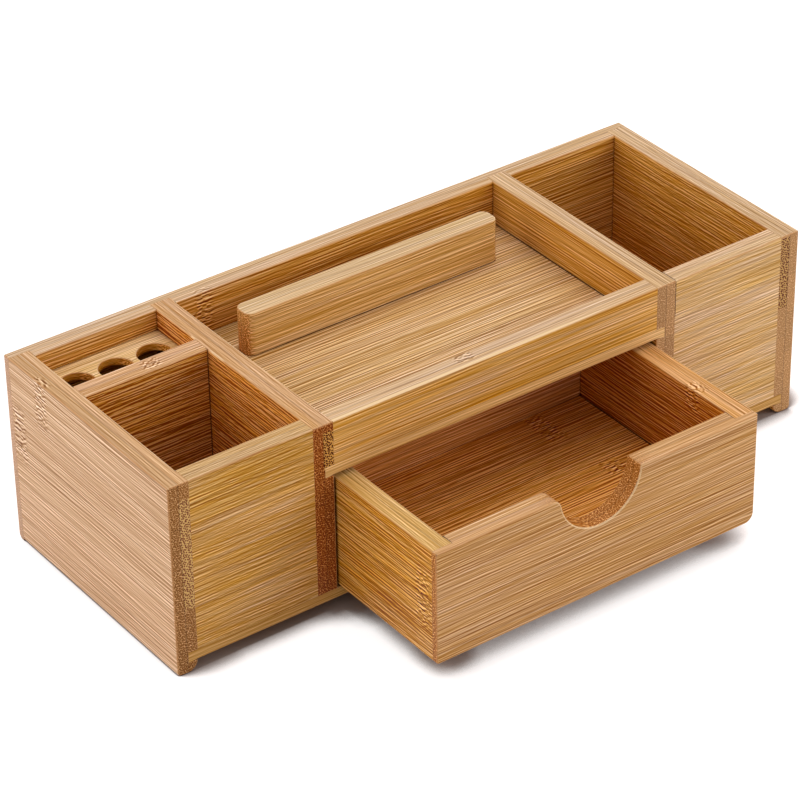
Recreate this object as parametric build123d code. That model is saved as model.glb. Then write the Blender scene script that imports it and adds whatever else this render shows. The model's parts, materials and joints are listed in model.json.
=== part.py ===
"""Bamboo desk organizer: two open bins, a pen rack, a tray with a phone rest and a drawer under the tray.

Millimetres. X runs along the length, Y from the front to the back and Z up. The origin is on the table, under the
middle of the organizer as it stands with its drawer part open. Every board is a solid of its own, housed or butted
as it is glued.
"""

import os

from build123d import *

# Cabinet, outside
length = 330.0
depth = 125.0
height = 93.0

# Boards of the cabinet
end_thickness = 10.0
divider_thickness = 10.0
cross_divider_thickness = 10.0
front_panel_thickness = 9.5
rail_thickness = 9.5
back_thickness = 9.0
bottom_thickness = 5.0
tray_floor_thickness = 5.0

# Rooms of the cabinet
left_bin_width = 60.0
right_bin_width = 60.0
tray_recess = 21.0
foot_height = 5.0

# Joints between boards: how deep one board is let into another, and the room left at the tip of a tongue
back_housing = 5.0
floor_housing = 5.0
tongue_tip_gap = 0.5

# Rounding of the cabinet's long edges
edge_ease = 0.8
foot_inner_radius = 5.0
foot_outer_radius = 2.0
back_foot_radius = 2.5

# Pen rack
pen_well_depth = 29.5
pen_plate_recess = 10.0
pen_plate_thickness = 4.0
pen_plate_housing = 3.0
pen_hole_diameter = 15.5
pen_hole_pitch = 19.0
pen_hole_count = 3

# Phone rest
rest_length = 134.0
rest_thickness = 11.0
rest_corner_radius = 4.0
phone_slot_width = 17.0

# Drawer
drawer_open = 68.0
drawer_side_gap = 1.0
drawer_top_gap = 2.2
drawer_slide_gap = 0.3
drawer_back_gap = 1.0
drawer_side_thickness = 10.0
drawer_front_thickness = 9.5
drawer_back_thickness = 9.0
drawer_floor_thickness = 5.0
drawer_floor_lift = 8.0
drawer_groove_depth = 5.0
drawer_lip = 3.0
notch_radius = 20.8
notch_corner_radius_left = 4.5
notch_corner_radius_right = 1.0
drawer_top_radius = 1.0
drawer_foot_radius_left = 1.2
drawer_foot_radius_right = 4.5

# Spans along X, each from its left to its right
half_length = length / 2
left_end_x = (-half_length, -half_length + end_thickness)
left_bin_x = (left_end_x[1], left_end_x[1] + left_bin_width)
left_divider_x = (left_bin_x[1], left_bin_x[1] + divider_thickness)
right_end_x = (half_length - end_thickness, half_length)
right_bin_x = (right_end_x[0] - right_bin_width, right_end_x[0])
right_divider_x = (right_bin_x[0] - divider_thickness, right_bin_x[0])
tray_x = (left_divider_x[1], right_divider_x[0])
drawer_x = (tray_x[0] + drawer_side_gap, tray_x[1] - drawer_side_gap)
drawer_inside_x = (drawer_x[0] + drawer_side_thickness, drawer_x[1] - drawer_side_thickness)

# Places along Y, from the open drawer's front to the cabinet's back
cabinet_front = (drawer_open - depth) / 2
cabinet_back = cabinet_front + depth
back_inside = cabinet_back - back_thickness
housing_end = back_inside + back_housing
tongue_end = housing_end - tongue_tip_gap
front_panel_y = (cabinet_front, cabinet_front + front_panel_thickness)
rail_y = (cabinet_front, cabinet_front + rail_thickness)
pen_well_y = (back_inside - pen_well_depth, back_inside)
cross_divider_y = (pen_well_y[0] - cross_divider_thickness, pen_well_y[0])
rest_back = back_inside - phone_slot_width
drawer_front_y = (cabinet_front - drawer_open, cabinet_front - drawer_open + drawer_front_thickness)
drawer_lip_end = drawer_front_y[0] + drawer_lip
drawer_end = back_inside - drawer_back_gap - drawer_open
drawer_back_y = (drawer_end - drawer_back_thickness, drawer_end)
drawer_groove_y = (drawer_front_y[1] - drawer_groove_depth, drawer_back_y[0] + drawer_groove_depth)

# Heights
bottom_z = (foot_height, foot_height + bottom_thickness)
tray_top = height - tray_recess
tray_floor_z = (tray_top - tray_floor_thickness, tray_top)
standing_z = (bottom_z[1], height)
pen_plate_top = height - pen_plate_recess
pen_plate_z = (pen_plate_top - pen_plate_thickness, pen_plate_top)
drawer_z = (bottom_z[1] + drawer_slide_gap, tray_floor_z[0] - drawer_top_gap)
drawer_floor_bottom = drawer_z[0] + drawer_floor_lift
drawer_floor_z = (drawer_floor_bottom, drawer_floor_bottom + drawer_floor_thickness)


def board(x, y, z):
    """A flat board that fills three spans."""
    outline = Pos(sum(x) / 2, sum(y) / 2, z[0]) * Rectangle(x[1] - x[0], y[1] - y[0])
    return extrude(outline, z[1] - z[0])


def grown(span, start, end):
    """The span made longer at its start and at its end."""
    return (span[0] - start, span[1] + end)


def rounded_section(plane, across, z, radii):
    """A board's upright section, its corners rounded by radii: low start, low end, high start, high end."""
    section = plane * Pos(sum(across) / 2, sum(z) / 2) * Rectangle(across[1] - across[0], z[1] - z[0])
    direction = Axis((0, 0, 0), plane.x_dir)
    low_to_high = section.vertices().group_by(Axis.Z)
    corners = low_to_high[0].sort_by(direction) + low_to_high[-1].sort_by(direction)
    for corner, radius in zip(corners, radii):
        if radius > 0:
            section = fillet(section.vertices().sort_by_distance(corner.center())[0], radius)
    return section


def board_along_y(x, y, z, radii):
    """A board whose rounded section is the same from front to back."""
    section_plane = Plane((0, y[0], 0), x_dir=(1, 0, 0), z_dir=(0, -1, 0))
    return extrude(rounded_section(section_plane, x, z, radii), y[1] - y[0], dir=(0, 1, 0))


def board_along_x(x, y, z, radii):
    """A board whose rounded section is the same from left to right."""
    section_plane = Plane((x[0], 0, 0), x_dir=(0, 1, 0), z_dir=(1, 0, 0))
    return extrude(rounded_section(section_plane, y, z, radii), x[1] - x[0], dir=(1, 0, 0))


def end_panel(x, outside_first):
    """An end panel: it stands on its own foot, and a groove inside takes the bottom board's tongue."""
    inner_radius = min(foot_inner_radius, foot_height)
    if outside_first:
        radii = (foot_outer_radius, inner_radius, edge_ease, 0)
        groove_x = (x[1] - floor_housing, x[1])
    else:
        radii = (inner_radius, foot_outer_radius, 0, edge_ease)
        groove_x = (x[0], x[0] + floor_housing)
    y = (cabinet_front, housing_end)
    return board_along_y(x, y, (0, height), radii) - board(groove_x, y, bottom_z)


def divider(x, groove_x):
    """A divider: it stands on the bottom board, and a groove on its tray side takes the tray floor's tongue."""
    y = (cabinet_front, housing_end)
    return board(x, y, standing_z) - board(groove_x, y, tray_floor_z)


def left_end_panel():
    """The left end panel, which also holds one end of the pen plate."""
    plate_groove_x = (left_end_x[1] - pen_plate_housing - tongue_tip_gap, left_end_x[1])
    return end_panel(left_end_x, True) - board(plate_groove_x, pen_well_y, pen_plate_z)


def right_end_panel():
    """The right end panel."""
    return end_panel(right_end_x, False)


def left_divider():
    """The left divider, which also holds the other end of the pen plate."""
    plate_groove_x = (left_divider_x[0], left_divider_x[0] + pen_plate_housing + tongue_tip_gap)
    tray_groove_x = (left_divider_x[1] - floor_housing, left_divider_x[1])
    return divider(left_divider_x, tray_groove_x) - board(plate_groove_x, pen_well_y, pen_plate_z)


def right_divider():
    """The right divider."""
    return divider(right_divider_x, (right_divider_x[0], right_divider_x[0] + floor_housing))


def back_panel():
    """The back panel: rabbeted over the end panels and grooved for the dividers and both floors."""
    radii = (0, back_foot_radius, 0, edge_ease)
    panel = board_along_x((left_end_x[0], right_end_x[1]), (back_inside, cabinet_back), (0, height), radii)
    housing_y = (back_inside, housing_end)
    for x in (left_end_x, right_end_x):
        panel -= board(x, housing_y, (0, height))
    for x in (left_divider_x, right_divider_x):
        panel -= board(x, housing_y, standing_z)
    panel -= board((left_end_x[1], right_end_x[0]), housing_y, bottom_z)
    panel -= board(tray_x, housing_y, tray_floor_z)
    return panel


def bottom_board():
    """The bottom board: one ply, its ends and its back edge let into the panels round it."""
    tongue = floor_housing - tongue_tip_gap
    x = grown((left_end_x[1], right_end_x[0]), tongue, tongue)
    return board(x, (cabinet_front, tongue_end), bottom_z)


def tray_floor():
    """The fixed shelf under the tray, let into both dividers and the back panel."""
    tongue = floor_housing - tongue_tip_gap
    return board(grown(tray_x, tongue, tongue), (cabinet_front, tongue_end), tray_floor_z)


def left_front_panel():
    """The front of the left bin, between the end panel and the divider."""
    return board(left_bin_x, front_panel_y, standing_z)


def right_front_panel():
    """The front of the right bin."""
    return board(right_bin_x, front_panel_y, standing_z)


def tray_rail():
    """The rail that stands on the tray floor and closes the tray's front."""
    return board_along_x(tray_x, rail_y, (tray_top, height), (0, 0, edge_ease, 0))


def phone_rest_strip():
    """The upright strip that a phone leans on, its ends rounded in plan."""
    plan = Pos(sum(tray_x) / 2, rest_back - rest_thickness / 2, tray_top)
    plan *= RectangleRounded(rest_length, rest_thickness, rest_corner_radius)
    return extrude(plan, tray_recess)


def cross_divider():
    """The board between the left bin and the pen well."""
    return board(left_bin_x, cross_divider_y, standing_z)


def pen_hole_plate():
    """The plate across the pen well, with a row of round pen holes, let into the boards at its ends."""
    plate = board(grown(left_bin_x, pen_plate_housing, pen_plate_housing), pen_well_y, pen_plate_z)
    row = Pos(sum(left_bin_x) / 2, sum(pen_well_y) / 2, pen_plate_z[0])
    row *= GridLocations(pen_hole_pitch, 0, pen_hole_count, 1)
    holes = [place * Circle(pen_hole_diameter / 2) for place in row]
    return plate - extrude(Sketch() + holes, pen_plate_thickness)


def drawer_front():
    """The drawer front: a half-round finger notch, rabbeted ends that lap the sides, and a groove for the floor."""
    section_plane = Plane((0, drawer_front_y[0], 0), x_dir=(1, 0, 0), z_dir=(0, -1, 0))
    corner_radii = (drawer_foot_radius_left, drawer_foot_radius_right, drawer_top_radius, drawer_top_radius)
    outline = rounded_section(section_plane, drawer_x, drawer_z, corner_radii)
    notch_centre = (sum(drawer_x) / 2, drawer_z[1])
    outline -= section_plane * Pos(*notch_centre) * Circle(notch_radius)
    for end, radius in ((-1, notch_corner_radius_left), (1, notch_corner_radius_right)):
        notch_corner = (notch_centre[0] + end * notch_radius, drawer_front_y[0], drawer_z[1])
        outline = fillet(outline.vertices().sort_by_distance(notch_corner)[0], radius)
    front = extrude(outline, drawer_front_thickness, dir=(0, 1, 0))
    face = front.faces().sort_by(Axis.Y)[0]
    front = fillet(face.edges(), edge_ease)
    rabbet_y = (drawer_lip_end, drawer_front_y[1])
    for x in ((drawer_x[0], drawer_inside_x[0]), (drawer_inside_x[1], drawer_x[1])):
        front -= board(x, rabbet_y, drawer_z)
    front -= board(drawer_inside_x, (drawer_groove_y[0], drawer_front_y[1]), drawer_floor_z)
    return front


def drawer_side(x, groove_x, radii):
    """A drawer side: it ends behind the front's lip, and a groove inside takes the floor."""
    side = board_along_y(x, (drawer_lip_end, drawer_end), drawer_z, radii)
    return side - board(groove_x, (drawer_lip_end, drawer_groove_y[1]), drawer_floor_z)


def drawer_left_side():
    """The drawer's left side."""
    x = (drawer_x[0], drawer_inside_x[0])
    groove_x = (x[1] - drawer_groove_depth, x[1])
    return drawer_side(x, groove_x, (drawer_foot_radius_left, 0, edge_ease, 0))


def drawer_right_side():
    """The drawer's right side."""
    x = (drawer_inside_x[1], drawer_x[1])
    groove_x = (x[0], x[0] + drawer_groove_depth)
    return drawer_side(x, groove_x, (0, drawer_foot_radius_right, 0, edge_ease))


def drawer_back():
    """The drawer back, between the sides."""
    back = board(drawer_inside_x, drawer_back_y, drawer_z)
    return back - board(drawer_inside_x, (drawer_back_y[0], drawer_groove_y[1]), drawer_floor_z)


def drawer_floor():
    """The drawer floor: one ply, let into the four boards round it."""
    tongue = drawer_groove_depth - tongue_tip_gap
    y = (drawer_groove_y[0] + tongue_tip_gap, drawer_groove_y[1] - tongue_tip_gap)
    return board(grown(drawer_inside_x, tongue, tongue), y, drawer_floor_z)


pieces = [
    left_end_panel,
    right_end_panel,
    left_divider,
    right_divider,
    back_panel,
    bottom_board,
    tray_floor,
    left_front_panel,
    right_front_panel,
    tray_rail,
    phone_rest_strip,
    cross_divider,
    pen_hole_plate,
    drawer_front,
    drawer_left_side,
    drawer_right_side,
    drawer_back,
    drawer_floor,
]

os.makedirs("parts", exist_ok=True)
for piece in pieces:
    export_step(piece(), f"parts/{piece.__name__}.step")
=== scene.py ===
"""Dresses the bamboo desk organizer: eased two-ply boards, their grain and knuckles, and a plain studio."""

import json
from dataclasses import dataclass
from itertools import product
from math import asin, atan2, cos, pi, radians, sin, sqrt, tan

import bmesh
import bpy
from bpy.props import FloatProperty, FloatVectorProperty, PointerProperty
from mathutils import Matrix, Vector, noise

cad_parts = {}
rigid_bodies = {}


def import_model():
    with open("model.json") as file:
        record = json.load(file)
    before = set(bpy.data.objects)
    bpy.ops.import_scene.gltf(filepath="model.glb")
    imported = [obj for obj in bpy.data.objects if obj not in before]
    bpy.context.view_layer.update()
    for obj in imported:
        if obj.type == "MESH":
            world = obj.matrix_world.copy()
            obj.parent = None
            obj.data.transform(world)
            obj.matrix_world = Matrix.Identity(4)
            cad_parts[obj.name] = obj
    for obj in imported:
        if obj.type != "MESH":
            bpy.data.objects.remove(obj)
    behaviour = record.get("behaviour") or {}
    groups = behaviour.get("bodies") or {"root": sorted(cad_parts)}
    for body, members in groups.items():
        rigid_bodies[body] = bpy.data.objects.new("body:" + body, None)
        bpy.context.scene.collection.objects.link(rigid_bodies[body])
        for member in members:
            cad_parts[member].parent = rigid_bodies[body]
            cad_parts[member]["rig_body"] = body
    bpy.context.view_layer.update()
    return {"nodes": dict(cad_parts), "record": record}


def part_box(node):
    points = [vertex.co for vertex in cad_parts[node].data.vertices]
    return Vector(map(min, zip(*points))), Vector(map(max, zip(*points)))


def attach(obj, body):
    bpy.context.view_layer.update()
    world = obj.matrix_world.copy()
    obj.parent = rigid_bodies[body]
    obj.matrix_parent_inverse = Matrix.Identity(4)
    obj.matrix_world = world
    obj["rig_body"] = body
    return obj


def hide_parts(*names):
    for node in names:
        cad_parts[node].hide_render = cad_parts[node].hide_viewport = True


bl_info = {
    "name": "Bamboo Desk Organizer",
    "version": (1, 0, 0),
    "blender": (4, 5, 0),
    "location": "View3D > Sidebar > Organizer",
    "description": "Builds the boards, the drawer and the studio of a bamboo desk organizer",
    "category": "Object",
}

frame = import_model()

MM = 0.001
X, Y, Z = range(3)

# The width of the strips that a ply is glued from.
STRIP = 20 * MM

# How close two boards' boxes are when the boards touch.
TOUCHING = 0.2 * MM

# The grid that a board is cut into: its pitch, and how far the soft cuts stand beside the firm ones.
PITCH = 8 * MM
TAPER = 1.6 * MM

# The material slot of a board's eased edges; its faces have slot 0.
EDGE = 1


# Settings -------------------------------------------------


class OrganizerEdges(bpy.types.PropertyGroup):
    """How the boards' edges are worked."""

    free: FloatProperty(
        name="Free edge", description="Radius of an edge that a hand can touch",
        default=0.6 * MM, unit="LENGTH"
    )
    joint: FloatProperty(
        name="Joint edge", description="Radius of an edge that meets another board",
        default=0.07 * MM, unit="LENGTH"
    )
    wear: FloatProperty(
        name="Unevenness", description="How much the radius of a sanded edge varies",
        default=0.12, min=0.0, max=1.0, subtype="FACTOR"
    )
    foot_inner: FloatProperty(
        name="Foot, inner edge", description="Radius inside the end panel's foot",
        default=5.0 * MM, unit="LENGTH"
    )
    foot_outer: FloatProperty(
        name="Foot, outer edge", description="Radius outside the end panel's foot",
        default=2.0 * MM, unit="LENGTH"
    )
    back_foot: FloatProperty(
        name="Back, lower edge", description="Radius of the back panel's lower edge",
        default=2.5 * MM, unit="LENGTH"
    )
    rest_corner: FloatProperty(
        name="Phone rest corner", description="Radius of the strip's upright corners",
        default=4.0 * MM, unit="LENGTH"
    )
    drawer_foot_left: FloatProperty(
        name="Drawer, lower left", description="Radius of the drawer's lower left edge",
        default=1.2 * MM, unit="LENGTH"
    )
    drawer_foot_right: FloatProperty(
        name="Drawer, lower right", description="Radius of the drawer's lower right edge",
        default=4.5 * MM, unit="LENGTH"
    )
    notch: FloatProperty(
        name="Finger notch", description="Radius of the half-round finger notch",
        default=20.8 * MM, unit="LENGTH"
    )
    notch_left: FloatProperty(
        name="Notch, left shoulder", description="Radius of the notch's upper left corner",
        default=4.5 * MM, unit="LENGTH"
    )
    notch_right: FloatProperty(
        name="Notch, right shoulder", description="Radius of the notch's upper right corner",
        default=1.0 * MM, unit="LENGTH"
    )


class OrganizerWood(bpy.types.PropertyGroup):
    """The colours of the lacquered bamboo."""

    ground: FloatVectorProperty(
        name="Ground", description="Colour between the lines",
        default=(0.51, 0.26, 0.062), subtype="COLOR"
    )
    end: FloatVectorProperty(
        name="End grain", description="Ground colour of sawn ends",
        default=(0.60, 0.30, 0.105), subtype="COLOR"
    )
    figure: FloatProperty(
        name="Figure", description="How strongly the fibres stand out of the ground",
        default=0.44, subtype="FACTOR"
    )
    speckle: FloatProperty(
        name="Speckle", description="How strongly the bundles stand out of the end grain",
        default=0.36, subtype="FACTOR"
    )
    # Painted highlight: the pale colour of right-facing edges, the highlight patches and the rail's edge.
    highlight_cream: FloatVectorProperty(
        name="Rubbed edge", description="Edges that the sandpaper left pale",
        default=(0.86, 0.62, 0.34), subtype="COLOR"
    )
    # Dark joints and chips, and the painted shade in the well under the pen plate.
    gap: FloatVectorProperty(
        name="Gap", description="Open joints and chips",
        default=(0.045, 0.014, 0.004), subtype="COLOR"
    )
    amber: FloatVectorProperty(
        name="Lacquered edge", description="Edges where the lacquer pooled",
        default=(0.50, 0.21, 0.05), subtype="COLOR"
    )


class OrganizerStage(bpy.types.PropertyGroup):
    """Floor and light."""

    floor: FloatVectorProperty(
        name="Floor", description="Colour of the floor", default=(0.86, 0.86, 0.87), subtype="COLOR"
    )
    key: FloatProperty(name="Lamps", description="Power of each soft lamp", default=10.0, unit="POWER")
    sky: FloatProperty(name="Room light", description="Strength of the light from all round", default=0.55)


# Boards ---------------------------------------------------


@dataclass
class Board:
    """What one board needs beyond its CAD node: how its grain runs, its plies, its tones and its marks.

    A tone is how light the wood is and how warm: warmth 0 is the plain colour and 1 an amber one. Places are
    along and across the grain and through the plies, in millimetres from the board's low corner. A patch is
    the place of its middle and how far it reaches from there in each of those directions.
    """

    node: str
    grain: int  # the axis that the grain runs along
    through: int  # the axis through the plies
    plies: int = 2
    # The tones hold painted light beside the wood's own colour: faces inside the bins and the drawer are
    # warmer and darker as painted shade, and the tops and the most lit faces paler and less warm as a painted
    # sheen.
    face: tuple = (1, 0)  # tone of the broad faces
    far: tuple = ()  # tone of the broad face at the high end of the axis, where it has its own
    side: tuple = (1, 0)  # tone of the long edges, where the plies show
    end: tuple = (1, 0)  # tone of the sawn ends
    blush: float = 0.0  # how much the whole board leans to pink
    run: float = 1.0  # length of the grain's lines
    contrast: float = 1.0  # strength of those lines on the faces
    drift: float = 1.0  # strength of the slow changes of hue on the faces
    grit: float = 1.0  # strength of the dots in the sawn ends
    coarse: tuple = ()  # patch of coarse dots in the sawn ends, across and through only
    coarse_tone: tuple = (1, 0)  # tone of that patch
    coarse_blush: float = 0.0  # how much more that patch leans to pink
    coarse_grit: float = 1.2  # strength of its dots
    knuckles: tuple = ()  # places of the culms' joints, each with its width across the grain
    # The dark patches are open joints and chips, and painted shade in the well under the pen plate.
    dark_joints_and_shade: tuple = ()  # dark patches: open joints and chips
    # Painted highlights: patches where an eased edge is made pale.
    painted_highlights: tuple = ()  # patches where an eased edge is pale
    # Painted highlights too: patches pale up to the edge, where an edge catches the light.
    worn: tuple = ()  # patches where the wood is pale up to its edge
    sawn: tuple = ()  # patches of a long edge that show end grain

    def __post_init__(self):
        self.across = X + Y + Z - self.grain - self.through
        self.far = self.far or self.face
        self.low, self.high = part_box(self.node)
        # A number from the board's name, so that the boards' grain differs.
        self.seed = sum(ord(letter) * (place + 1) for place, letter in enumerate(self.node)) % 97


ALL_BOARDS = (
    Board(
        "left_end_panel", Y, X, face=(1.15, -1.3), side=(1.05, -1.0), end=(0.50, 1.1), blush=0.05, drift=0.1,
        coarse=((58, 7.5), (27, 2.5)), coarse_tone=(0.65, 0.2), coarse_grit=1.0,
        knuckles=((97, 84, 0, 26), (116, 58, 0, 24)),
        # Painted shade on the inner face, in the well under the pen plate.
        dark_joints_and_shade=(((101, 34, 10), (15, 34, 1.2)),),
    ),
    Board(
        "right_end_panel", Y, X, face=(1.10, 1.1), far=(1.15, -0.5), side=(1.10, -1.4), end=(0.75, -0.1),
        run=0.5, contrast=1.3, grit=0.5,
        coarse=((74, 2.5), (18, 2.5)), coarse_tone=(0.50, 0.6), coarse_blush=0.15, coarse_grit=1.15,
    ),
    Board(
        "left_divider", Y, X, face=(1.05, 2.2), far=(1.10, 0.8), side=(1.05, -0.9), end=(0.45, 4.8),
        blush=0.07, run=0.6, contrast=3.2, drift=1.8, grit=1.1,
        coarse=((70, 7.5), (9, 2.5)), coarse_tone=(0.45, 2.2), coarse_blush=0.25, coarse_grit=1.7,
        # Painted shade on its left face, in the well under the pen plate.
        dark_joints_and_shade=(((101, 34, 0), (15, 34, 1.2)),),
        # Painted highlights on its eased edge beside the left bin.
        painted_highlights=(((70, 83, 0), (5, 1.2, 1.2)), ((88, 83, 0), (1.5, 1, 1))),
    ),
    Board(
        "right_divider", Y, X, face=(1.05, 0.8), far=(1.10, 0.3), side=(1.05, -1.3), end=(0.70, -0.1),
        grit=0.55,
    ),
    Board(
        "back_panel", X, Y, face=(1.10, 0.6), far=(1.15, -0.4), side=(1.05, -1.4), end=(0.85, -0.9),
        contrast=1.3, grit=0.4,
        knuckles=((94, 84, 0, 18),),
        # Painted shade on its front face, in the well under the pen plate.
        dark_joints_and_shade=(((40, 34, 0), (31, 34, 1.2)),),
    ),
    Board("bottom_board", X, Z, plies=1),
    Board(
        "tray_floor", X, Z, plies=1, face=(1.05, -0.8), side=(1.25, -0.6), run=1.4, contrast=1.35,
        dark_joints_and_shade=(((174.3, 62, 5), (0.5, 52, 1)),),
    ),
    Board("left_front_panel", X, Y, face=(1.05, 0.1), side=(1.05, -1.0), run=0.45, contrast=0.9, drift=1.8),
    Board(
        "right_front_panel", X, Y, face=(1.25, -1.0), side=(1.15, -1.4), run=0.5, contrast=0.75, drift=1.6,
        dark_joints_and_shade=(((0, 74, 0), (0.35, 9, 1)), ((0, 83, 4.7), (0.35, 1, 5))),
    ),
    Board(
        "tray_rail", X, Y, face=(1.20, 0.1), side=(1.15, -1.4), contrast=0.8, drift=2.2,
        knuckles=((71, 21, 7, 12),),
        # Painted highlight along the rail's top front edge.
        worn=(((50, 21.2, 0), (85, 0.5, 1.7)),),
    ),
    Board(
        "phone_rest_strip", X, Y, face=(1.20, -0.6), side=(1.10, -1.3), end=(0.85, 0.6), blush=-0.04,
        dark_joints_and_shade=(((67, 0, 0), (67, 0.45, 1)),),
    ),
    Board(
        "cross_divider", X, Y, face=(1.00, 1.1), far=(1.05, 0.6), side=(1.05, -1.0),
        blush=0.08, run=0.6, contrast=2.1, drift=1.6,
        knuckles=((35, 83, 5, 9),),
        dark_joints_and_shade=(((60, 40, 0), (0.40, 43, 1.5)),),
    ),
    Board("pen_hole_plate", X, Z, plies=1, face=(1.25, -1.0), side=(1.05, 1.9), end=(1.05, 1.9), blush=-0.05),
    Board(
        "drawer_front", X, Y, face=(0.95, -0.4), side=(1.05, -0.8), end=(0.65, 2.0),
        blush=0.07, contrast=0.9, drift=0.8,
        dark_joints_and_shade=(((10, 54, 6.5), (0.35, 3, 3.4)), ((158, 54, 6.5), (0.35, 3, 3.4))),
        # Painted highlight on the eased edge round the finger notch.
        painted_highlights=(((84, 40, 0), (26, 14, 2)),),
        sawn=(((84, 38, 5), (26, 16, 8)),),
    ),
    Board(
        "drawer_left_side", Y, X, face=(1.05, 1.6), far=(1.05, 1.0), side=(1.15, -0.5),
        blush=-0.04, run=0.7, contrast=1.9, drift=1.6,
        knuckles=((6, 28, 0, 26),),
    ),
    Board(
        "drawer_right_side", Y, X, face=(0.90, 2.9), far=(1.05, 0.6), side=(1.25, -0.5),
        blush=0.08, run=0.7, contrast=1.7,
        knuckles=((28, 50, 2.5, 12),),
    ),
    Board("drawer_back", X, Y, face=(1.15, 0), blush=0.15),
    Board(
        "drawer_floor", X, Z, plies=1, face=(1.15, 1.4), blush=0.08, contrast=1.8,
        knuckles=((129, 49, 5, 10), (124, 90, 5, 22)),
        dark_joints_and_shade=(((152.2, 53, 5), (0.4, 48, 1)),),
    ),
)
BOARDS = {board.node: board for board in ALL_BOARDS}


def body_of(node):
    """The body that a node rides on."""
    return frame["nodes"][node]["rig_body"]


def neighbours(board):
    """The boxes of the other boards of the same body that touch or enter this board's box."""
    found = []
    reach = Vector((1, 1, 1)) * TOUCHING
    for node, other in BOARDS.items():
        if node == board.node or body_of(node) != body_of(board.node):
            continue
        low, high = other.low - reach, other.high + reach
        if all(low[a] < board.high[a] and high[a] > board.low[a] for a in range(3)):
            found.append((other.low, other.high))
    return found


def inside(point, boxes):
    """Whether a point lies in one of the boxes."""
    return any(all(low[a] < point[a] < high[a] for a in range(3)) for low, high in boxes)


def grid_planes(low, high, exact):
    """Coordinates that cut a board: its ends and every exact place, and soft cuts beside and between them."""
    least_gap = 0.05 * MM
    firm = [low, high]
    for c in sorted(exact):
        if low < c < high and min(abs(c - p) for p in firm) > least_gap:
            firm.append(c)
    planes = list(firm)
    count = max(1, round((high - low) / PITCH))
    soft = [c + side * TAPER for c in firm for side in (-1, 1)]
    soft += [low + (high - low) * step / count for step in range(1, count)]
    for c in soft:
        if low < c < high and min(abs(c - p) for p in planes) > 0.9 * TAPER:
            planes.append(c)
    return sorted(planes)


def cell_mesh(planes, solid, place):
    """A closed mesh round the cells of a grid that solid() keeps; place() moves the grid's points."""
    made = bmesh.new()
    corners = {}

    def corner(index):
        if index not in corners:
            corners[index] = made.verts.new(place(Vector([p[i] for p, i in zip(planes, index)])))
        return corners[index]

    cells = product(*(range(len(p) - 1) for p in planes))
    keep = {cell for cell in cells if solid(Vector([(p[i] + p[i + 1]) / 2 for p, i in zip(planes, cell)]))}
    for cell in sorted(keep):
        for axis in range(3):
            one, two = (axis + 1) % 3, (axis + 2) % 3
            for side in (0, 1):
                beside = list(cell)
                beside[axis] += 2 * side - 1
                if tuple(beside) in keep:
                    continue
                ring = []
                for da, db in ((0, 0), (1, 0), (1, 1), (0, 1)):
                    index = list(cell)
                    index[axis] += side
                    index[one] += da
                    index[two] += db
                    ring.append(corner(tuple(index)))
                made.faces.new(ring if side else ring[::-1])
    made.normal_update()
    return made


def sharp_edges(made, least=radians(25)):
    """The outward edges at which two faces of a mesh meet at an angle."""
    return [e for e in made.edges if len(e.link_faces) == 2 and e.is_convex and e.calc_face_angle(0) > least]


def arc_planes(low, high, radius, at_high, steps=5):
    """Coordinates that place a rounded corner's grid points at even angles."""
    centre = high - radius if at_high else low + radius
    outward = 1 if at_high else -1
    return [centre + outward * radius * tan(pi / 4 * step / steps) for step in range(steps)]


def rounding(board, first, second, radius):
    """A rounded edge where two sides of a board's box meet.

    Each side is an axis and 1 for the board's high end or -1 for its low end.
    """
    sides = []
    for axis, outward in (first, second):
        edge = board.high[axis] if outward > 0 else board.low[axis]
        sides.append((axis, outward, edge - outward * radius))
    return sides, radius


def bent(point, roundings):
    """The grid point moved onto the arcs of the roundings."""
    for sides, _ in roundings:
        (one, one_out, one_centre), (two, two_out, two_centre) = sides
        u = (point[one] - one_centre) * one_out
        v = (point[two] - two_centre) * two_out
        if u > 0 and v > 0:
            pull = max(u, v) / sqrt(u * u + v * v)
            point = point.copy()
            point[one] = one_centre + u * pull * one_out
            point[two] = two_centre + v * pull * two_out
    return point


def clear_flats(made):
    """Joins faces that lie in one plane, and keeps the points along their outline."""
    bmesh.ops.dissolve_limit(
        made, angle_limit=radians(0.2), use_dissolve_boundaries=False, verts=[], edges=list(made.edges)
    )
    made.normal_update()


def set_easing(made, board, edges):
    """Gives each sharp edge the radius of a free edge, or of one that meets another board."""
    weight = made.edges.layers.float.new("bevel_weight_edge")
    skin = Vector((1, 1, 1)) * 0.05 * MM
    boxes = [(low - skin, high + skin) for low, high in neighbours(board)]
    probe = 0.25 * MM
    for edge in sharp_edges(made):
        middle = (edge.verts[0].co + edge.verts[1].co) / 2
        first, second = (face.normal for face in edge.link_faces)
        tests = (middle + probe * first, middle + probe * second, middle + probe * (first + second))
        edge[weight] = edges.joint / edges.free if any(inside(point, boxes) for point in tests) else 1.0


def wear(mesh, board, edges):
    """Makes the eased edges uneven, as sandpaper leaves them, in long waves and finer ones."""
    long_waves, fine_waves = 70, 400
    mean_depth, fine_share = 0.5, 0.4
    worn = bmesh.new()
    worn.from_mesh(mesh)
    moves = []
    for vert in worn.verts:
        if any(face.material_index != EDGE for face in vert.link_faces):
            continue
        step = min(edge.calc_length() for edge in vert.link_edges)
        uneven = noise.noise(vert.co * long_waves + Vector((board.seed, 0, 0)))
        fine = noise.noise(vert.co * fine_waves + Vector((0, board.seed, 0)))
        depth = edges.wear * step * max(0.0, mean_depth + uneven + fine_share * fine)
        moves.append((vert, depth))
    for vert, depth in moves:
        vert.co -= vert.normal * depth
    worn.to_mesh(mesh)
    worn.free()


def add_object(context, name, data):
    """A new object in the scene."""
    added = bpy.data.objects.new(name, data)
    context.collection.objects.link(added)
    return added


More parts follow.
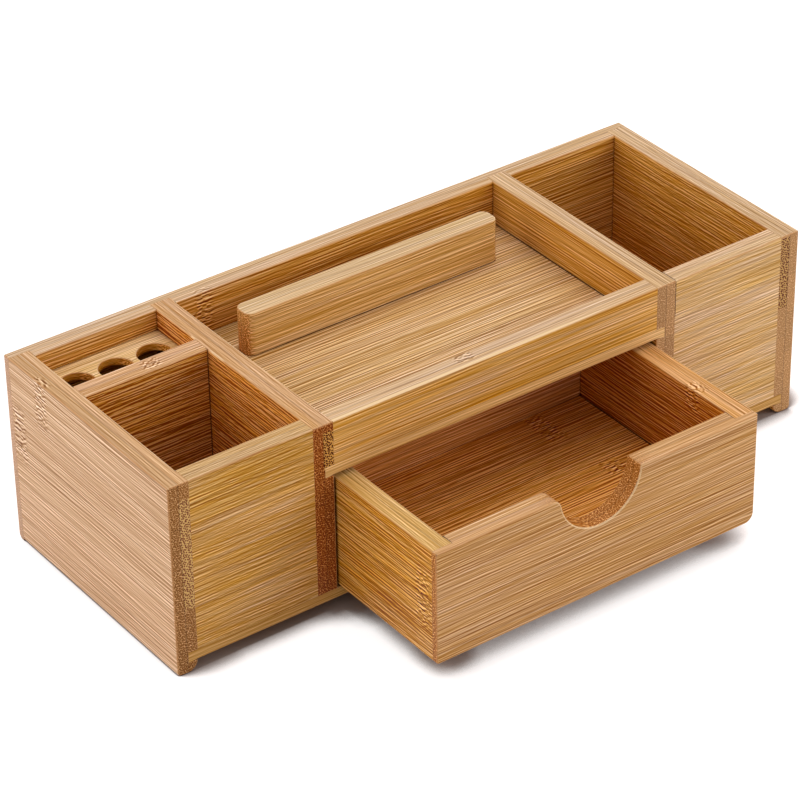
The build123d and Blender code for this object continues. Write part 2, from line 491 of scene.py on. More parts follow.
def add_mesh(context, name, made):
    """The mesh as a new object in the scene."""
    mesh = bpy.data.meshes.new(name)
    made.to_mesh(mesh)
    made.free()
    return add_object(context, name, mesh)


def finish_board(context, board, made):
    """Turns the mesh into the board's object, with its eased edges and bamboo, in place of its CAD node."""
    edges = context.scene.organizer_edges
    set_easing(made, board, edges)
    raw = add_mesh(context, board.node + "_raw", made)
    mesh = raw.data
    bevel = raw.modifiers.new("easing", "BEVEL")
    bevel.width = edges.free
    bevel.segments = 3
    bevel.limit_method = "WEIGHT"
    bevel.use_clamp_overlap = False
    bevel.material = EDGE
    mesh.materials.append(bamboo(context, board))
    mesh.materials.append(bamboo(context, board, edge=True))
    for face in mesh.polygons:
        face.use_smooth = True
    level = raw.modifiers.new("flat faces", "WEIGHTED_NORMAL")
    level.keep_sharp = True
    level.weight = 100
    evaluated = raw.evaluated_get(context.evaluated_depsgraph_get())
    eased = bpy.data.meshes.new_from_object(evaluated)
    eased.name = "board_" + board.node
    wear(eased, board, edges)
    piece = add_object(context, "board_" + board.node, eased)
    bpy.data.objects.remove(raw)
    bpy.data.meshes.remove(mesh)
    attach(piece, body_of(board.node))
    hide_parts(board.node)


def let_in(nodes):
    """The boxes of the boards that are let into another one."""
    return [(BOARDS[node].low, BOARDS[node].high) for node in nodes]


def board_planes(board, cuts, roundings, low):
    """The grid of a board, from this low corner: its cuts, its neighbours' faces and its rounded corners."""
    planes = []
    for axis in range(3):
        exact = [side[axis] for box in cuts + neighbours(board) for side in box]
        for sides, radius in roundings:
            for side_axis, outward, _ in sides:
                if side_axis == axis:
                    exact += arc_planes(board.low[axis], board.high[axis], radius, outward > 0)
        planes.append(grid_planes(low[axis], board.high[axis], exact))
    return planes


def box_board(board, cuts, roundings, low):
    """A board's mesh: its box with rounded edges, from its own low corner or another one, less the cuts."""
    planes = board_planes(board, cuts, roundings, low or board.low)
    made = cell_mesh(planes, lambda point: not inside(point, cuts), lambda point: bent(point, roundings))
    clear_flats(made)
    return made


# Materials ------------------------------------------------

# How far the strips are staggered from ply to ply and from board to board, as shares of a strip.
PLY_STAGGER, BOARD_STAGGER = 0.43, 0.137

# How far the fibres sway from side to side, and how fast along the grain and across it.
SWAY, SWAY_ALONG, SWAY_ACROSS = 2.2 * MM, 7.0, 12.0

# The shade of the darkest strip and of the lightest, on the faces and in the sawn ends, and the power that
# takes blue further than red and green on the faces.
FACE_SHADES, END_SHADES = (0.94, 1.06), (0.92, 1.08)
BLUE_POWER = 1.6

# The layers of a face's lines: their length and width in millimetres, and their weight. Crisp lines stand
# out from the fibres beside them, and soft ones don't.
CRISP_LINES = ((34, 0.72, 1.20), (44, 1.2, 0.70), (6, 0.62, 0.60))
SOFT_LINES = ((60, 2.2, 0.30), (140, 6.0, 0.20), (22, 0.35, 0.20))

# The hue's wandering: its length and width in millimetres, and how strongly red, green and blue follow the
# lines, the quick wandering and the slow one.
QUICK_HUE, SLOW_HUE = (50, 1.6), (120, 8.0)
CHANNELS = ((0.93, -0.03, 0.03), (1.02, 0.01, 0.05), (1.10, 0.11, 0.13))

# The contrast and the drift of a board's long edges, which are alike on all boards.
SIDE_LINES = 0.65

# How far apart the fibre bundles of the end grain are, in millimetres, in fine wood and in coarse.
FINE_BUNDLES, COARSE_BUNDLES = 0.70, 1.00

# Their dots: the level that leaves the tone as it is, the strength, and where coarse dots begin and end to
# fade.
FINE_MEAN, FINE_STRENGTH = 0.40, 2.4
COARSE_MEAN, COARSE_STRENGTH, COARSE_FADE = 0.39, 1.3, (0.20, 0.50)

# How much less red and blue the dots of coarse wood take out than green.
COARSE_RED, COARSE_BLUE = 0.15, 0.4

# What a step of warmth leaves of a tone's green and blue.
WARM_GREEN, WARM_BLUE = 0.86, 0.48

# How much gaps and painted shade, painted highlight patches and eased edges take of their own colours.
GAP_AND_SHADE_SHARE, PAINTED_HIGHLIGHT_SHARE, EDGE_SHARE = 0.92, 0.7, 0.5

# The darkest that the wood gets, and the gamma of the scale that such values are on, which is the eye's.
DARKEST = (0.06, 0.03, 0.01)
EYE = 2.2

# Glue lines between strips and between plies: where they start and end to fade, and how dark they are.
SEAM = (0.04 * MM, 0.22 * MM, 0.28)
GLUE = (0.05 * MM, 0.28 * MM, 0.40)

# A culm's joint: how far it reaches from its middle along the grain and through the plies, the length and
# width of its dashes, all in millimetres, how far a fibre stands out where a dash starts to show and where
# it shows fully, how strongly pale and dark dashes show, and how deep the dark ones are.
KNUCKLE_ALONG, KNUCKLE_THROUGH = 4.5, 3.2
KNUCKLE_DASH = (2.3, 1.15)
DASH_STARTS, DASH_SHOWS = 0.03, 0.12
GLEAM, DASH, DASH_DEPTH = 0.15, 0.25, 1.2

# How far the painted shade reaches out of the corners where boards meet, how open they are where it is
# deepest and where it ends, with the light that is left there, and how fast red, green and blue fade.
PAINTED_SHADE_REACH = 1.6 * MM
PAINTED_SHADE_LIGHT = (0.40, 0.62, 0.08, 1.0)
PAINTED_SHADE_POWERS = (0.75, 1.1, 1.6)

# How far a surface turns, from 0 to 1, before another side's grain begins to show and shows fully.
TURN = (0.55, 0.75)

# How much of its reach a patch takes to fade.
KNUCKLE_SOFT, PATCH_SOFT, COARSE_SOFT = 0.35, 0.3, 0.02

# The roughness between the lines and on them, and the gloss of the faces and of the eased edges.
ROUGHNESS = (0.52, 0.38)
FACE_GLOSS, EDGE_GLOSS = 0.15, 0.4


def reckoning(operation):
    """A method that adds a Math node for this operation on a value."""
    return lambda value, *others: value.wiring.math(operation, value, *others)


class Value:
    """What a node's socket gives. Reckoning with it adds the Math nodes that do so."""

    __add__ = reckoning("ADD")
    __sub__ = reckoning("SUBTRACT")
    __mul__ = reckoning("MULTIPLY")
    __truediv__ = reckoning("DIVIDE")
    __pow__ = reckoning("POWER")
    __abs__ = reckoning("ABSOLUTE")

    def __init__(self, wiring, socket):
        self.wiring = wiring
        self.socket = socket

    def __rsub__(self, other):
        return self.wiring.math("SUBTRACT", other, self)


class Wiring:
    """Adds nodes to a tree and joins them."""

    def __init__(self, tree):
        self.tree = tree

    def feed(self, node, inputs):
        """Links these inputs of a node to values, or sets them to plain numbers."""
        for name, given in inputs.items():
            if isinstance(given, Value):
                self.tree.links.new(given.socket, node.inputs[name])
            else:
                node.inputs[name].default_value = given

    def outputs(self, node):
        """The values that a node gives, by name and by number."""
        sockets = (*node.outputs.items(), *enumerate(node.outputs))
        return {name: Value(self, socket) for name, socket in sockets}

    def node(self, kind, inputs=None, **settings):
        """The outputs of a new node with these settings and inputs."""
        made = self.tree.nodes.new("ShaderNode" + kind)
        for name, setting in settings.items():
            setattr(made, name, setting)
        self.feed(made, inputs or {})
        return self.outputs(made)

    def math(self, operation, *values, clamp=False):
        return self.node("Math", dict(enumerate(values)), operation=operation, use_clamp=clamp)[0]

    def larger(self, one, other):
        return self.math("MAXIMUM", one, other)

    def ramp(self, value, start, end, low=0.0, high=1.0):
        """The value's stretch from start to end, spread smoothly from low to high."""
        inputs = {"Value": value, "From Min": start, "From Max": end, "To Min": low, "To Max": high}
        return self.node("MapRange", inputs, interpolation_type="SMOOTHSTEP")["Result"]

    def between(self, share, first, second):
        """The first value where the share is 0, and the second where it is 1."""
        return self.node("Mix", {0: share, 2: first, 3: second})[0]

    def mix(self, share, first, second, kind="MIX"):
        """The first colour with this share of the second one."""
        return self.node("Mix", {0: share, 6: first, 7: second}, data_type="RGBA", blend_type=kind)[2]

    def tint(self, colour, other):
        """The product of two colours."""
        return self.mix(1.0, colour, other, "MULTIPLY")

    def vector(self, x, y, z):
        return self.node("CombineXYZ", {0: x, 1: y, 2: z})[0]

    def noise(self, place, scale, detail=1.0):
        return self.node("TexNoise", {"Vector": place, "Scale": scale, "Detail": detail})[0]


def new_group(name, inputs, outputs):
    """The wiring of a new node group, the values of its inputs and its output node.

    The sockets are given as (name, kind), with a default for the inputs.
    """
    tree = bpy.data.node_groups.new(name, "ShaderNodeTree")
    for label, kind, default in inputs:
        socket = tree.interface.new_socket(label, in_out="INPUT", socket_type="NodeSocket" + kind)
        socket.default_value = default
    for label, kind in outputs:
        tree.interface.new_socket(label, in_out="OUTPUT", socket_type="NodeSocket" + kind)
    w = Wiring(tree)
    return w, w.outputs(tree.nodes.new("NodeGroupInput")), tree.nodes.new("NodeGroupOutput")


def new_material(name):
    """A new material, its shader and the wiring of its nodes."""
    material = bpy.data.materials.new(name)
    material.use_nodes = True
    return material, material.node_tree.nodes["Principled BSDF"], Wiring(material.node_tree)


def bamboo_group(wood):
    """The grain of laminated bamboo, from a place along and across its strips and through its plies."""
    found = bpy.data.node_groups.get("laminated bamboo")
    if found:
        return found
    numbers = (
        "Along", "Across", "Through", "Ply", "Seed", "Run", "Contrast", "Drift", "Grit",
        "End", "Side", "Knuckle", "Coarse",
    )
    colours = ("Face Tone", "Side Tone", "End Tone", "Coarse Tone")
    w, g, result = new_group(
        "laminated bamboo",
        [(name, "Float", 0.0) for name in numbers] + [(name, "Color", (1, 1, 1, 1)) for name in colours],
        [("Color", "Color"), ("Lines", "Float"), ("Height", "Float")],
    )
    flat = 1.0 - g["Side"]

    # Each ply is made of strips side by side, staggered from ply to ply and from board to board, and each
    # strip comes from another culm. A ply is taken a trifle thicker, so that its far face is still its own.
    ply = w.math("FLOOR", g["Through"] / (g["Ply"] * 1.0001))
    strips = g["Across"] / STRIP + ply * PLY_STAGGER + g["Seed"] * BOARD_STAGGER
    strip = w.math("FLOOR", strips)
    chance = w.node("TexWhiteNoise", {"Vector": w.vector(strip, ply, g["Seed"])}, noise_dimensions="3D")
    chances = w.node("SeparateColor", {0: chance["Color"]})
    along = g["Along"] + chances[0] * 2.0
    through = g["Through"] + chances[1] * 0.5

    # The fibres sway a little from side to side on their way along the strip.
    sway = w.noise(w.vector(along * SWAY_ALONG, g["Across"] * SWAY_ACROSS, 0.0), 1.0)
    across = g["Across"] + sway * SWAY

    def fibres(length, width, shift=0.0):
        """Noise drawn out along the grain: its lines are this long and this wide, in millimetres."""
        place = w.vector(
            along / (g["Run"] * (length * MM)),
            across / (width * MM) + flat * shift,
            through / (width * MM) + g["Side"] * shift,
        )
        return w.noise(place, 1.0, 0.0) - 0.5

    def lines(length, width, reach=0.75):
        """How much a fibre stands out from those beside it on the same face."""
        beside = fibres(length, width, reach) + fibres(length, width, -reach)
        return fibres(length, width) - beside * 0.5

    def shifted(colour, change):
        """The colour, moved by a step in each channel as the eye sees it."""
        eye = w.node("Gamma", {"Color": colour, "Gamma": 1 / EYE})[0]
        moved = w.node("VectorMath", {0: eye, 1: change}, operation="ADD")[0]
        moved = w.node("VectorMath", {0: moved, 1: DARKEST}, operation="MAXIMUM")[0]
        return w.node("Gamma", {"Color": moved, "Gamma": EYE})[0]

    # The face: fine lines over broader ones.
    crisp = [lines(length, width) * weight for length, width, weight in CRISP_LINES]
    soft = [fibres(length, width) * weight for length, width, weight in SOFT_LINES]
    light = sum(crisp[1:] + soft, crisp[0]) * w.between(g["Side"], g["Contrast"], SIDE_LINES)
    light = w.math("ADD", light, 0.5, clamp=True)

    # The joint of a culm: short dashes, dark sunk ones and pale raised ones, in one band of one strip.
    dashes = lines(*KNUCKLE_DASH)
    dash = w.ramp(dashes, DASH_STARTS, DASH_SHOWS) * g["Knuckle"]
    gleam = w.ramp(dashes, -DASH_STARTS, -DASH_SHOWS) * g["Knuckle"]
    swing = (light - 0.5) * wood.figure + (gleam * GLEAM - dash * DASH)

    # The hue wanders quickly and slowly, and each strip is a little lighter or darker than the next.
    wander = w.between(g["Side"], g["Drift"], SIDE_LINES)
    quick = fibres(*QUICK_HUE) * wander
    slow = fibres(*SLOW_HUE) * wander
    step = w.vector(*(
        swing * lines_share + quick * quick_share + slow * slow_share
        for lines_share, quick_share, slow_share in CHANNELS
    ))
    shade = w.between(chances[2], *FACE_SHADES)
    face = w.tint((*wood.ground, 1), w.vector(shade, shade, shade**BLUE_POWER))
    face = shifted(w.tint(face, w.mix(g["Side"], g["Face Tone"], g["Side Tone"])), step)

    # The sawn end: fibre bundles as dots in a fine stipple, coarser where the strip lies near its pith.
    def bundles(size):
        """How far off the middle of the nearest fibre bundle is, with bundles this many millimetres apart."""
        # Their rows lie askew to the plies, which brings them closer, and shift along the grain.
        askew, closer, shift = 0.6, 1.17, 0.7
        slant = g["Across"] + along * shift
        first = slant + g["Through"] * askew
        second = g["Through"] - slant * askew
        pitch = size * closer * MM
        inputs = {"Vector": w.vector(first / pitch, second / pitch, 0.0), "Scale": 1.0, "Randomness": 0.6}
        return w.node("TexVoronoi", inputs, voronoi_dimensions="2D")["Distance"]

    fine = (bundles(FINE_BUNDLES) - FINE_MEAN) * FINE_STRENGTH
    rough = COARSE_MEAN - w.ramp(bundles(COARSE_BUNDLES), *COARSE_FADE, 1.0, 0.0)
    rough *= COARSE_STRENGTH
    speck = w.between(g["Coarse"], fine, rough) * g["Grit"] * wood.speckle
    cut = w.between(chances[1], *END_SHADES)
    sawn_tone = w.mix(g["Coarse"], w.tint(g["End Tone"], w.vector(cut, cut, cut)), g["Coarse Tone"])
    red = speck * (1.0 - g["Coarse"] * COARSE_RED)
    blue = speck * (1.0 - g["Coarse"] * COARSE_BLUE)
    sawn = shifted(w.tint((*wood.end, 1), sawn_tone), w.vector(red, speck, blue))

    # Glue lines: between the plies where they show, and faint ones between the strips.
    within = w.math("FRACT", strips)
    within = w.math("MINIMUM", within, 1.0 - within) * STRIP
    seam = w.ramp(within, *SEAM, 0.0) * flat
    glue = w.ramp(abs(g["Through"] - g["Ply"]), *GLUE, 0.0) * w.larger(g["Side"], g["End"])
    joint = w.larger(seam, glue)
    clear = 1.0 - joint
    colour = w.tint(w.mix(g["End"], face, sawn), w.vector(clear, clear, clear))

    relief = light * (1.0 - g["End"]) + speck * g["End"] - dash * DASH_DEPTH + gleam - joint
    w.feed(result, {"Color": colour, "Lines": light, "Height": relief})
    return w.tree


def toned(tone, blush):
    """The multiplier of a tone, given as (lightness, warmth), on a board that leans this much to pink."""
    lightness, warmth = tone
    return (lightness, lightness * (1 - blush) * WARM_GREEN**warmth, lightness * WARM_BLUE**warmth, 1.0)


def box_mask(w, where, centre, half, soft):
    """1 inside a box round a place, fading out at its sides; all in millimetres."""
    mask = None
    for value, middle, reach in zip(where, centre, half):
        near = w.ramp(abs(value - middle * MM), reach * (1 - soft) * MM, reach * (1 + soft) * MM, 1.0, 0.0)
        mask = mask * near if mask else near
    return mask


def patches(w, where, places, soft):
    """1 inside any of the patches, each a middle and a reach, and 0 elsewhere."""
    mask = 0.0
    for middle, reach in places:
        mask = w.larger(mask, box_mask(w, where, middle, reach, soft))
    return mask


def bamboo(context, board, edge=False):
    """The board's own bamboo, or that of its sanded edges."""
    wood = context.scene.organizer_wood
    material, shader, w = new_material(("edge_" if edge else "bamboo_") + board.node)
    place = w.node("TexCoord")
    where = w.node("SeparateXYZ", {0: place["Object"]})
    facing = w.node("SeparateXYZ", {0: place["Normal"]})
    directions = (board.grain, board.across, board.through)
    along, across, through = (where[axis] - board.low[axis] for axis in directions)
    end, side = (w.ramp(abs(facing[axis]), *TURN) for axis in directions[:2])

    knuckles = [(middle, (KNUCKLE_ALONG, width / 2, KNUCKLE_THROUGH)) for *middle, width in board.knuckles]
    knuckle = patches(w, (along, across, through), knuckles, KNUCKLE_SOFT)
    gap, painted_highlights, worn, sawn = (
        patches(w, (along, across, through), places, PATCH_SOFT)
        for places in (board.dark_joints_and_shade, board.painted_highlights, board.worn, board.sawn)
    )
    coarse, grit = 0.0, board.grit
    if board.coarse:
        coarse = box_mask(w, (across, through), *board.coarse, COARSE_SOFT)
        grit = w.between(coarse, board.grit, board.coarse_grit)
    if board.sawn:
        end = w.larger(end, side * sawn)
    outward = w.ramp(facing[board.through], -0.5, 0.5)
    grain = w.node("Group", {
        "Along": along, "Across": across, "Through": through,
        "Ply": (board.high[board.through] - board.low[board.through]) / board.plies,
        "Seed": float(board.seed), "Run": board.run, "Contrast": board.contrast, "Drift": board.drift,
        "Grit": grit, "End": end, "Side": side, "Knuckle": knuckle, "Coarse": coarse,
        "Face Tone": w.mix(outward, toned(board.face, board.blush), toned(board.far, board.blush)),
        "Side Tone": toned(board.side, board.blush),
        "End Tone": toned(board.end, board.blush),
        "Coarse Tone": toned(board.coarse_tone, board.blush + board.coarse_blush),
    }, node_tree=bamboo_group(wood))

    colour = grain["Color"]
    if edge:
        # Painted highlight: edges that face right, and the highlight patches, turn pale in the highlight
        # cream;
        # those that face front, back or left keep the amber lacquer.
        uneven = w.noise(place["Object"], 60.0) * 0.8 - 0.4
        pale = w.ramp(facing[X] - abs(facing[Y]) * 0.6 + uneven, -0.35, 0.35)
        lacquered = w.mix(w.larger(pale, painted_highlights), (*wood.amber, 1), (*wood.highlight_cream, 1))
        colour = w.mix(EDGE_SHARE, colour, lacquered)
    # Painted highlight: the worn patches take on the highlight cream.
    if board.worn:
        colour = w.mix(worn * PAINTED_HIGHLIGHT_SHARE, colour, (*wood.highlight_cream, 1))

    # Painted shade: corners where boards meet are made dark and warm, blue fading first.
    corner = w.node("AmbientOcclusion", {"Distance": PAINTED_SHADE_REACH}, samples=6)["AO"]
    corner = w.ramp(corner, *PAINTED_SHADE_LIGHT)
    colour = w.tint(colour, w.vector(*(corner**power for power in PAINTED_SHADE_POWERS)))
    # Dark joints, and painted shade in the well under the pen plate.
    if board.dark_joints_and_shade:
        colour = w.mix(gap * GAP_AND_SHADE_SHARE, colour, (*wood.gap, 1))

    w.feed(shader, {
        "Base Color": colour,
        "Roughness": w.ramp(grain["Lines"], 0.0, 1.0, *ROUGHNESS),
        "Normal": w.node("Bump", {"Height": grain["Height"], "Strength": 0.4, "Distance": 0.04 * MM})[0],
        "Specular IOR Level": EDGE_GLOSS if edge else FACE_GLOSS,
    })
    return material


def build(context, node, cuts=(), roundings=(), low=None):
    """Builds one board, less the boards that are let into it, with its roundings and its bamboo."""
    board = BOARDS[node]
    finish_board(context, board, box_board(board, let_in(cuts), roundings, low))


# Pieces ---------------------------------------------------


class ORGANIZER_OT_end_panels(bpy.types.Operator):
    """Build both end panels with their rounded feet"""

    bl_idname = "organizer.end_panels"
    bl_label = "End panels"

    def execute(self, context):
        edges = context.scene.organizer_edges
        for node, outward in (("left_end_panel", -1), ("right_end_panel", 1)):
            board = BOARDS[node]
            feet = [
                rounding(board, (X, outward), (Z, -1), edges.foot_outer),
                rounding(board, (X, -outward), (Z, -1), edges.foot_inner),
            ]
            build(context, node, ["bottom_board"] + (["pen_hole_plate"] if outward < 0 else []), feet)
        return {"FINISHED"}


class ORGANIZER_OT_dividers(bpy.types.Operator):
    """Build both dividers beside the tray"""

    bl_idname = "organizer.dividers"
    bl_label = "Dividers"

    def execute(self, context):
        build(context, "left_divider", ["tray_floor", "pen_hole_plate"])
        build(context, "right_divider", ["tray_floor"])
        return {"FINISHED"}


class ORGANIZER_OT_back_panel(bpy.types.Operator):
    """Build the back panel, rabbeted over the end panels"""

    bl_idname = "organizer.back_panel"
    bl_label = "Back panel"

    def execute(self, context):
        edges = context.scene.organizer_edges
        board = BOARDS["back_panel"]
        cuts = [
            "left_end_panel", "right_end_panel", "left_divider", "right_divider",
            "bottom_board", "tray_floor",
        ]
        build(context, "back_panel", cuts, [rounding(board, (Y, 1), (Z, -1), edges.back_foot)])
        return {"FINISHED"}


class ORGANIZER_OT_floors(bpy.types.Operator):
    """Build the bottom board and the fixed shelf under the tray"""

    bl_idname = "organizer.floors"
    bl_label = "Bottom board and tray floor"

    def execute(self, context):
        build(context, "bottom_board")
        build(context, "tray_floor")
        return {"FINISHED"}


class ORGANIZER_OT_fronts(bpy.types.Operator):
    """Build the two front panels, the tray's rail and the cross divider"""

    bl_idname = "organizer.fronts"
    bl_label = "Front panels, rail and cross divider"

    def execute(self, context):
        for node in ("left_front_panel", "right_front_panel", "tray_rail", "cross_divider"):
            build(context, node)
        return {"FINISHED"}


class ORGANIZER_OT_phone_rest(bpy.types.Operator):
    """Build the upright strip that a phone leans on"""

    bl_idname = "organizer.phone_rest"
    bl_label = "Phone rest"

    def execute(self, context):
        edges = context.scene.organizer_edges
        board = BOARDS["phone_rest_strip"]
        corners = [rounding(board, (X, x), (Y, y), edges.rest_corner) for x in (-1, 1) for y in (-1, 1)]
        build(context, "phone_rest_strip", (), corners)
        return {"FINISHED"}


class ORGANIZER_OT_pen_plate(bpy.types.Operator):
    """Build the plate with the row of pen holes"""

    bl_idname = "organizer.pen_plate"
    bl_label = "Pen hole plate"

    def execute(self, context):
        board = BOARDS["pen_hole_plate"]
        finish_board(context, board, plate_mesh(board, bore_mounts()))
        return {"FINISHED"}


def bore_mounts():
    """Centre and radius of each pen hole, from the record's mounts."""
    return [
        (Vector(mount["pos_m"]), mount["dims"]["r_mm"] * MM)
        for mount in frame["record"]["mounts"]
        if mount["kind"] == "bore"
    ]


def plate_mesh(board, holes, steps=14):
    """A plate of one field per hole: rings of faces from the hole's rim to the field's outline."""
    holes = sorted(holes, key=lambda hole: hole[0].x)
    borders = [board.low.x]
    borders += [(a[0].x + b[0].x) / 2 for a, b in zip(holes, holes[1:])]
    borders.append(board.high.x)
    made = bmesh.new()
    for (centre, radius), left, right in zip(holes, borders, borders[1:]):
        corners = [(left, board.low.y), (right, board.low.y), (right, board.high.y), (left, board.high.y)]
        outline = []
        for start, end in zip(corners, corners[1:] + corners[:1]):
            for step in range(steps):
                share = step / steps
                x = start[0] + (end[0] - start[0]) * share
                outline.append((x, start[1] + (end[1] - start[1]) * share))
        rings = []
        for z in (board.low.z, board.high.z):
            outer = [made.verts.new((x, y, z)) for x, y in outline]
            inner = []
            for x, y in outline:
                angle = atan2(y - centre.y, x - centre.x)
                on_rim = (centre.x + radius * cos(angle), centre.y + radius * sin(angle), z)
                inner.append(made.verts.new(on_rim))
            rings.append((outer, inner))
        (low_outer, low_inner), (high_outer, high_inner) = rings
        count = len(outline)
        for here in range(count):
            after = (here + 1) % count
            made.faces.new((high_outer[here], high_outer[after], high_inner[after], high_inner[here]))
            made.faces.new((low_outer[after], low_outer[here], low_inner[here], low_inner[after]))
            made.faces.new((high_inner[here], high_inner[after], low_inner[after], low_inner[here]))
            shared = outline[here][0] == outline[after][0] and outline[here][0] in borders[1:-1]
            if not shared:
                made.faces.new((low_outer[here], low_outer[after], high_outer[after], high_outer[here]))
    bmesh.ops.remove_doubles(made, verts=made.verts, dist=0.001 * MM)
    bmesh.ops.recalc_face_normals(made, faces=made.faces)
    clear_flats(made)
    return made


class ORGANIZER_OT_drawer_front(bpy.types.Operator):
    """Build the drawer front with its finger notch"""

    bl_idname = "organizer.drawer_front"
    bl_label = "Drawer front"

    def execute(self, context):
        edges = context.scene.organizer_edges
        board = BOARDS["drawer_front"]
        centre = (board.low.x + board.high.x) / 2
        depths = notch_depths(edges.notch, edges.notch_left, edges.notch_right)
        columns = sorted(depths)
        height = board.high.z - board.low.z

        def notched(point):
            """Pulls the upper part of the grid down to the notch's outline."""
            column = min(columns, key=lambda c: abs(c - (point.x - centre)))
            depth = depths[column] if columns[0] <= point.x - centre <= columns[-1] else 0.0
            return Vector((point.x, point.y, point.z - depth * (point.z - board.low.z) / height))

        cuts = let_in(["drawer_left_side", "drawer_right_side"])
        feet = [
            rounding(board, (X, -1), (Z, -1), edges.drawer_foot_left),
            rounding(board, (X, 1), (Z, -1), edges.drawer_foot_right),
        ]
        planes = board_planes(board, cuts, feet, board.low)
        clear = 0.5 * MM
        planes[X] = [x for x in planes[X] if not columns[0] - clear < x - centre < columns[-1] + clear]
        planes[X] = sorted(planes[X] + [centre + column for column in columns])
        made = cell_mesh(
            planes, lambda point: not inside(point, cuts), lambda point: bent(notched(point), feet)
        )
        clear_flats(made)
        finish_board(context, board, made)
        return {"FINISHED"}


def notch_depths(radius, left, right, steps=36, corner_steps=8):
    """The notch's outline with its rounded shoulders: how deep it is at each distance from its middle."""
    depths = {}
    tangents = []
    for outward, corner in ((1, right), (-1, left)):
        tangent = asin(corner / (radius + corner))
        shoulder = sqrt((radius + corner) ** 2 - corner**2)
        tangents.append(tangent)
        for step in range(corner_steps):
            angle = pi / 2 + (tangent - pi / 2) * step / corner_steps
            depths[outward * (shoulder - corner * cos(angle))] = corner - corner * sin(angle)
    for step in range(steps + 1):
        angle = tangents[0] + (pi - tangents[0] - tangents[1]) * step / steps
        depths[radius * cos(angle)] = radius * sin(angle)
    return depths


class ORGANIZER_OT_drawer_body(bpy.types.Operator):
    """Build the drawer's sides, back and floor"""

    bl_idname = "organizer.drawer_body"
    bl_label = "Drawer body"

    def execute(self, context):
        edges = context.scene.organizer_edges
        sides = (
            ("drawer_left_side", -1, edges.drawer_foot_left),
            ("drawer_right_side", 1, edges.drawer_foot_right),
        )
        for node, outward, radius in sides:
            build(context, node, ["drawer_floor"], [rounding(BOARDS[node], (X, outward), (Z, -1), radius)])
        build(context, "drawer_back", ["drawer_floor"])
        behind_front = BOARDS["drawer_floor"].low.copy()
        behind_front.y = BOARDS["drawer_front"].high.y
        build(context, "drawer_floor", low=behind_front)
        return {"FINISHED"}


# Stage ----------------------------------------------------

# Each lamp's name, place, size in metres and share of the stage's power.
LAMPS = (
    ("left_light", Vector((-1.5, 0.5, 0.7)), 1.2, 1.1),
    ("top_light", Vector((0.5, 0.3, 1.7)), 1.3, 1.4),
    ("front_light", Vector((1.3, -1.4, 0.8)), 1.2, 1.35),
)

# The organizer's painted shadow on the floor: its colour, how far it reaches, the direction that it looks
# for boards in, and how open the floor is where the shadow is deepest and where it ends, with the glow that
# is left.
SHADOW = (0.33, 0.27, 0.25)
SHADOW_REACH = 22 * MM
SHADOW_LEAN = (-0.45, 0.0, 0.89)
SHADOW_GLOW = (0.515, 0.79, 0.0, 0.92)

# The camera's focal length and sensor in millimetres, its place from the left end panel's front corner at
# the floor in millimetres, and the directions to its right and ahead of it.
LENS, SENSOR = 160.93, 36.0
CAMERA_PLACE = Vector((-600.1, -996.6, 888.7))
CAMERA_RIGHT = Vector((0.80747, -0.58974, -0.01444))
CAMERA_AHEAD = Vector((0.48777, 0.68123, -0.54590))


class ORGANIZER_OT_stage(bpy.types.Operator):
    """Lay the pale floor, hang the soft light and set up the camera"""

    bl_idname = "organizer.stage"
    bl_label = "Stage"

    def execute(self, context):
        stage = context.scene.organizer_stage
        make_floor(context, stage)
        make_light(context, stage)
        make_camera(context)
        context.scene.view_settings.view_transform = "Standard"
        return {"FINISHED"}


def make_floor(context, stage):
    """A wide pale floor that shows white to the camera, and the organizer's shadow close to it, partly
    painted.
    """
    made = bmesh.new()
    bmesh.ops.create_grid(made, x_segments=2, y_segments=2, size=4.0)
    floor = add_mesh(context, "floor", made)
    floor.location.z = -0.02 * MM
    material, shader, w = new_material("studio_floor")
    seen = by_eye(w)
    # Painted shadow: the glow fades close to the boards, and further out on their right, which leaves the
    # floor dark in its shadow colour there.
    near = {"Distance": SHADOW_REACH, "Normal": w.vector(*SHADOW_LEAN)}
    glow = w.ramp(w.node("AmbientOcclusion", near, samples=32)["AO"], *SHADOW_GLOW)
    w.feed(shader, {
        "Base Color": w.mix(seen, (*stage.floor, 1), (*SHADOW, 1)), "Roughness": 0.9,
        "Specular IOR Level": 0.0, "Emission Color": (1, 1, 1, 1), "Emission Strength": seen * glow,
    })
    floor.data.materials.append(material)


def by_eye(w):
    """1 for what the camera sees, directly or in a gloss, and 0 for the light on the wood."""
    path = w.node("LightPath")
    return w.larger(path["Is Camera Ray"], path["Is Glossy Ray"])


def make_light(context, stage):
    """Soft light from all round and three large lamps, before a background that is white to the camera."""
    world = bpy.data.worlds.new("studio")
    context.scene.world = world
    world.use_nodes = True
    w = Wiring(world.node_tree)
    strength = w.between(by_eye(w), stage.sky, 1.0)
    w.feed(world.node_tree.nodes["Background"], {"Color": (1, 1, 1, 1), "Strength": strength})
    for name, place, size, share in LAMPS:
        lamp = bpy.data.lights.new(name, "AREA")
        lamp.shape = "SQUARE"
        lamp.size = size
        lamp.energy = stage.key * share
        light = add_object(context, name, lamp)
        light.location = place
        light.rotation_euler = (-place).to_track_quat("-Z", "Y").to_euler()


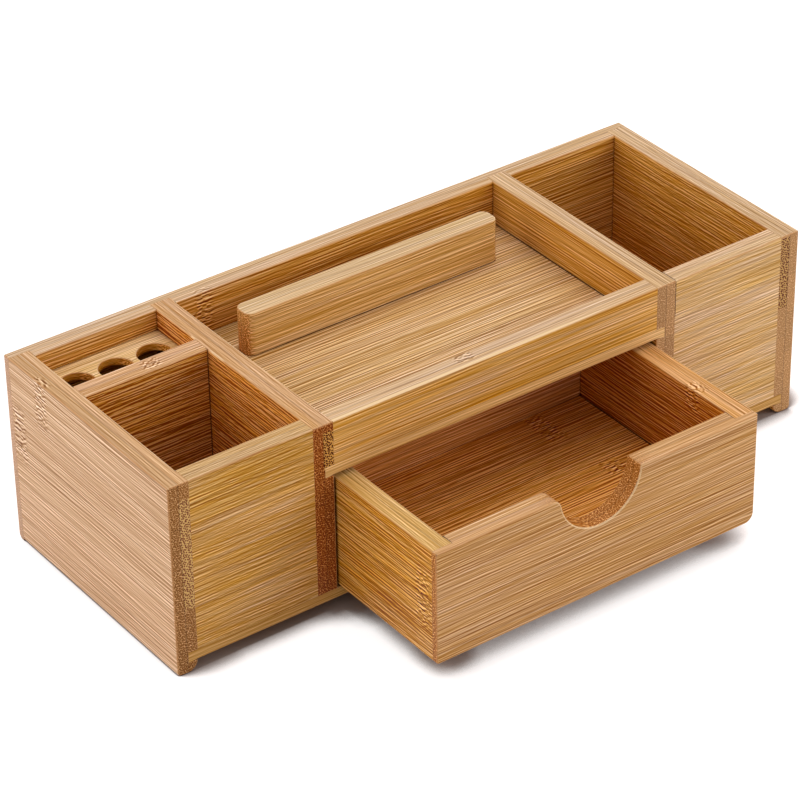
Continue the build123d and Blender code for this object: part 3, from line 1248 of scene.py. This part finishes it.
def make_camera(context):
    """The camera, above the organizer's left front corner."""
    lens = bpy.data.cameras.new("camera")
    lens.sensor_width = SENSOR
    lens.lens = LENS
    lens.clip_end = 20.0
    camera = add_object(context, "camera", lens)
    right = CAMERA_RIGHT.normalized()
    ahead = CAMERA_AHEAD.normalized()
    corner = BOARDS["left_end_panel"].low
    matrix = Matrix((right, right.cross(ahead).normalized(), -ahead)).transposed().to_4x4()
    matrix.translation = Vector((corner.x, corner.y, 0)) + CAMERA_PLACE * MM
    camera.matrix_world = matrix
    context.scene.camera = camera


# Sidebar --------------------------------------------------

PIECES = (
    ORGANIZER_OT_end_panels,
    ORGANIZER_OT_dividers,
    ORGANIZER_OT_back_panel,
    ORGANIZER_OT_floors,
    ORGANIZER_OT_fronts,
    ORGANIZER_OT_phone_rest,
    ORGANIZER_OT_pen_plate,
    ORGANIZER_OT_drawer_front,
    ORGANIZER_OT_drawer_body,
    ORGANIZER_OT_stage,
)


class ORGANIZER_PT_sidebar(bpy.types.Panel):
    """The organizer's pieces and settings"""

    bl_idname = "ORGANIZER_PT_sidebar"
    bl_label = "Desk Organizer"
    bl_space_type = "VIEW_3D"
    bl_region_type = "UI"
    bl_category = "Organizer"

    def draw(self, context):
        scene = context.scene
        for piece in PIECES:
            self.layout.operator(piece.bl_idname)
        for settings in (scene.organizer_edges, scene.organizer_wood, scene.organizer_stage):
            box = self.layout.box()
            for name in settings.bl_rna.properties.keys():
                if name not in ("rna_type", "name"):
                    box.prop(settings, name)


CLASSES = (OrganizerEdges, OrganizerWood, OrganizerStage, *PIECES, ORGANIZER_PT_sidebar)


def register():
    for made in CLASSES:
        bpy.utils.register_class(made)
    bpy.types.Scene.organizer_edges = PointerProperty(type=OrganizerEdges)
    bpy.types.Scene.organizer_wood = PointerProperty(type=OrganizerWood)
    bpy.types.Scene.organizer_stage = PointerProperty(type=OrganizerStage)


def unregister():
    del bpy.types.Scene.organizer_stage
    del bpy.types.Scene.organizer_wood
    del bpy.types.Scene.organizer_edges
    for made in reversed(CLASSES):
        bpy.utils.unregister_class(made)


def main():
    """Build every piece and the stage."""
    register()
    for piece in PIECES:
        group, name = piece.bl_idname.split(".")
        getattr(getattr(bpy.ops, group), name)()


if __name__ == "__main__":
    main()
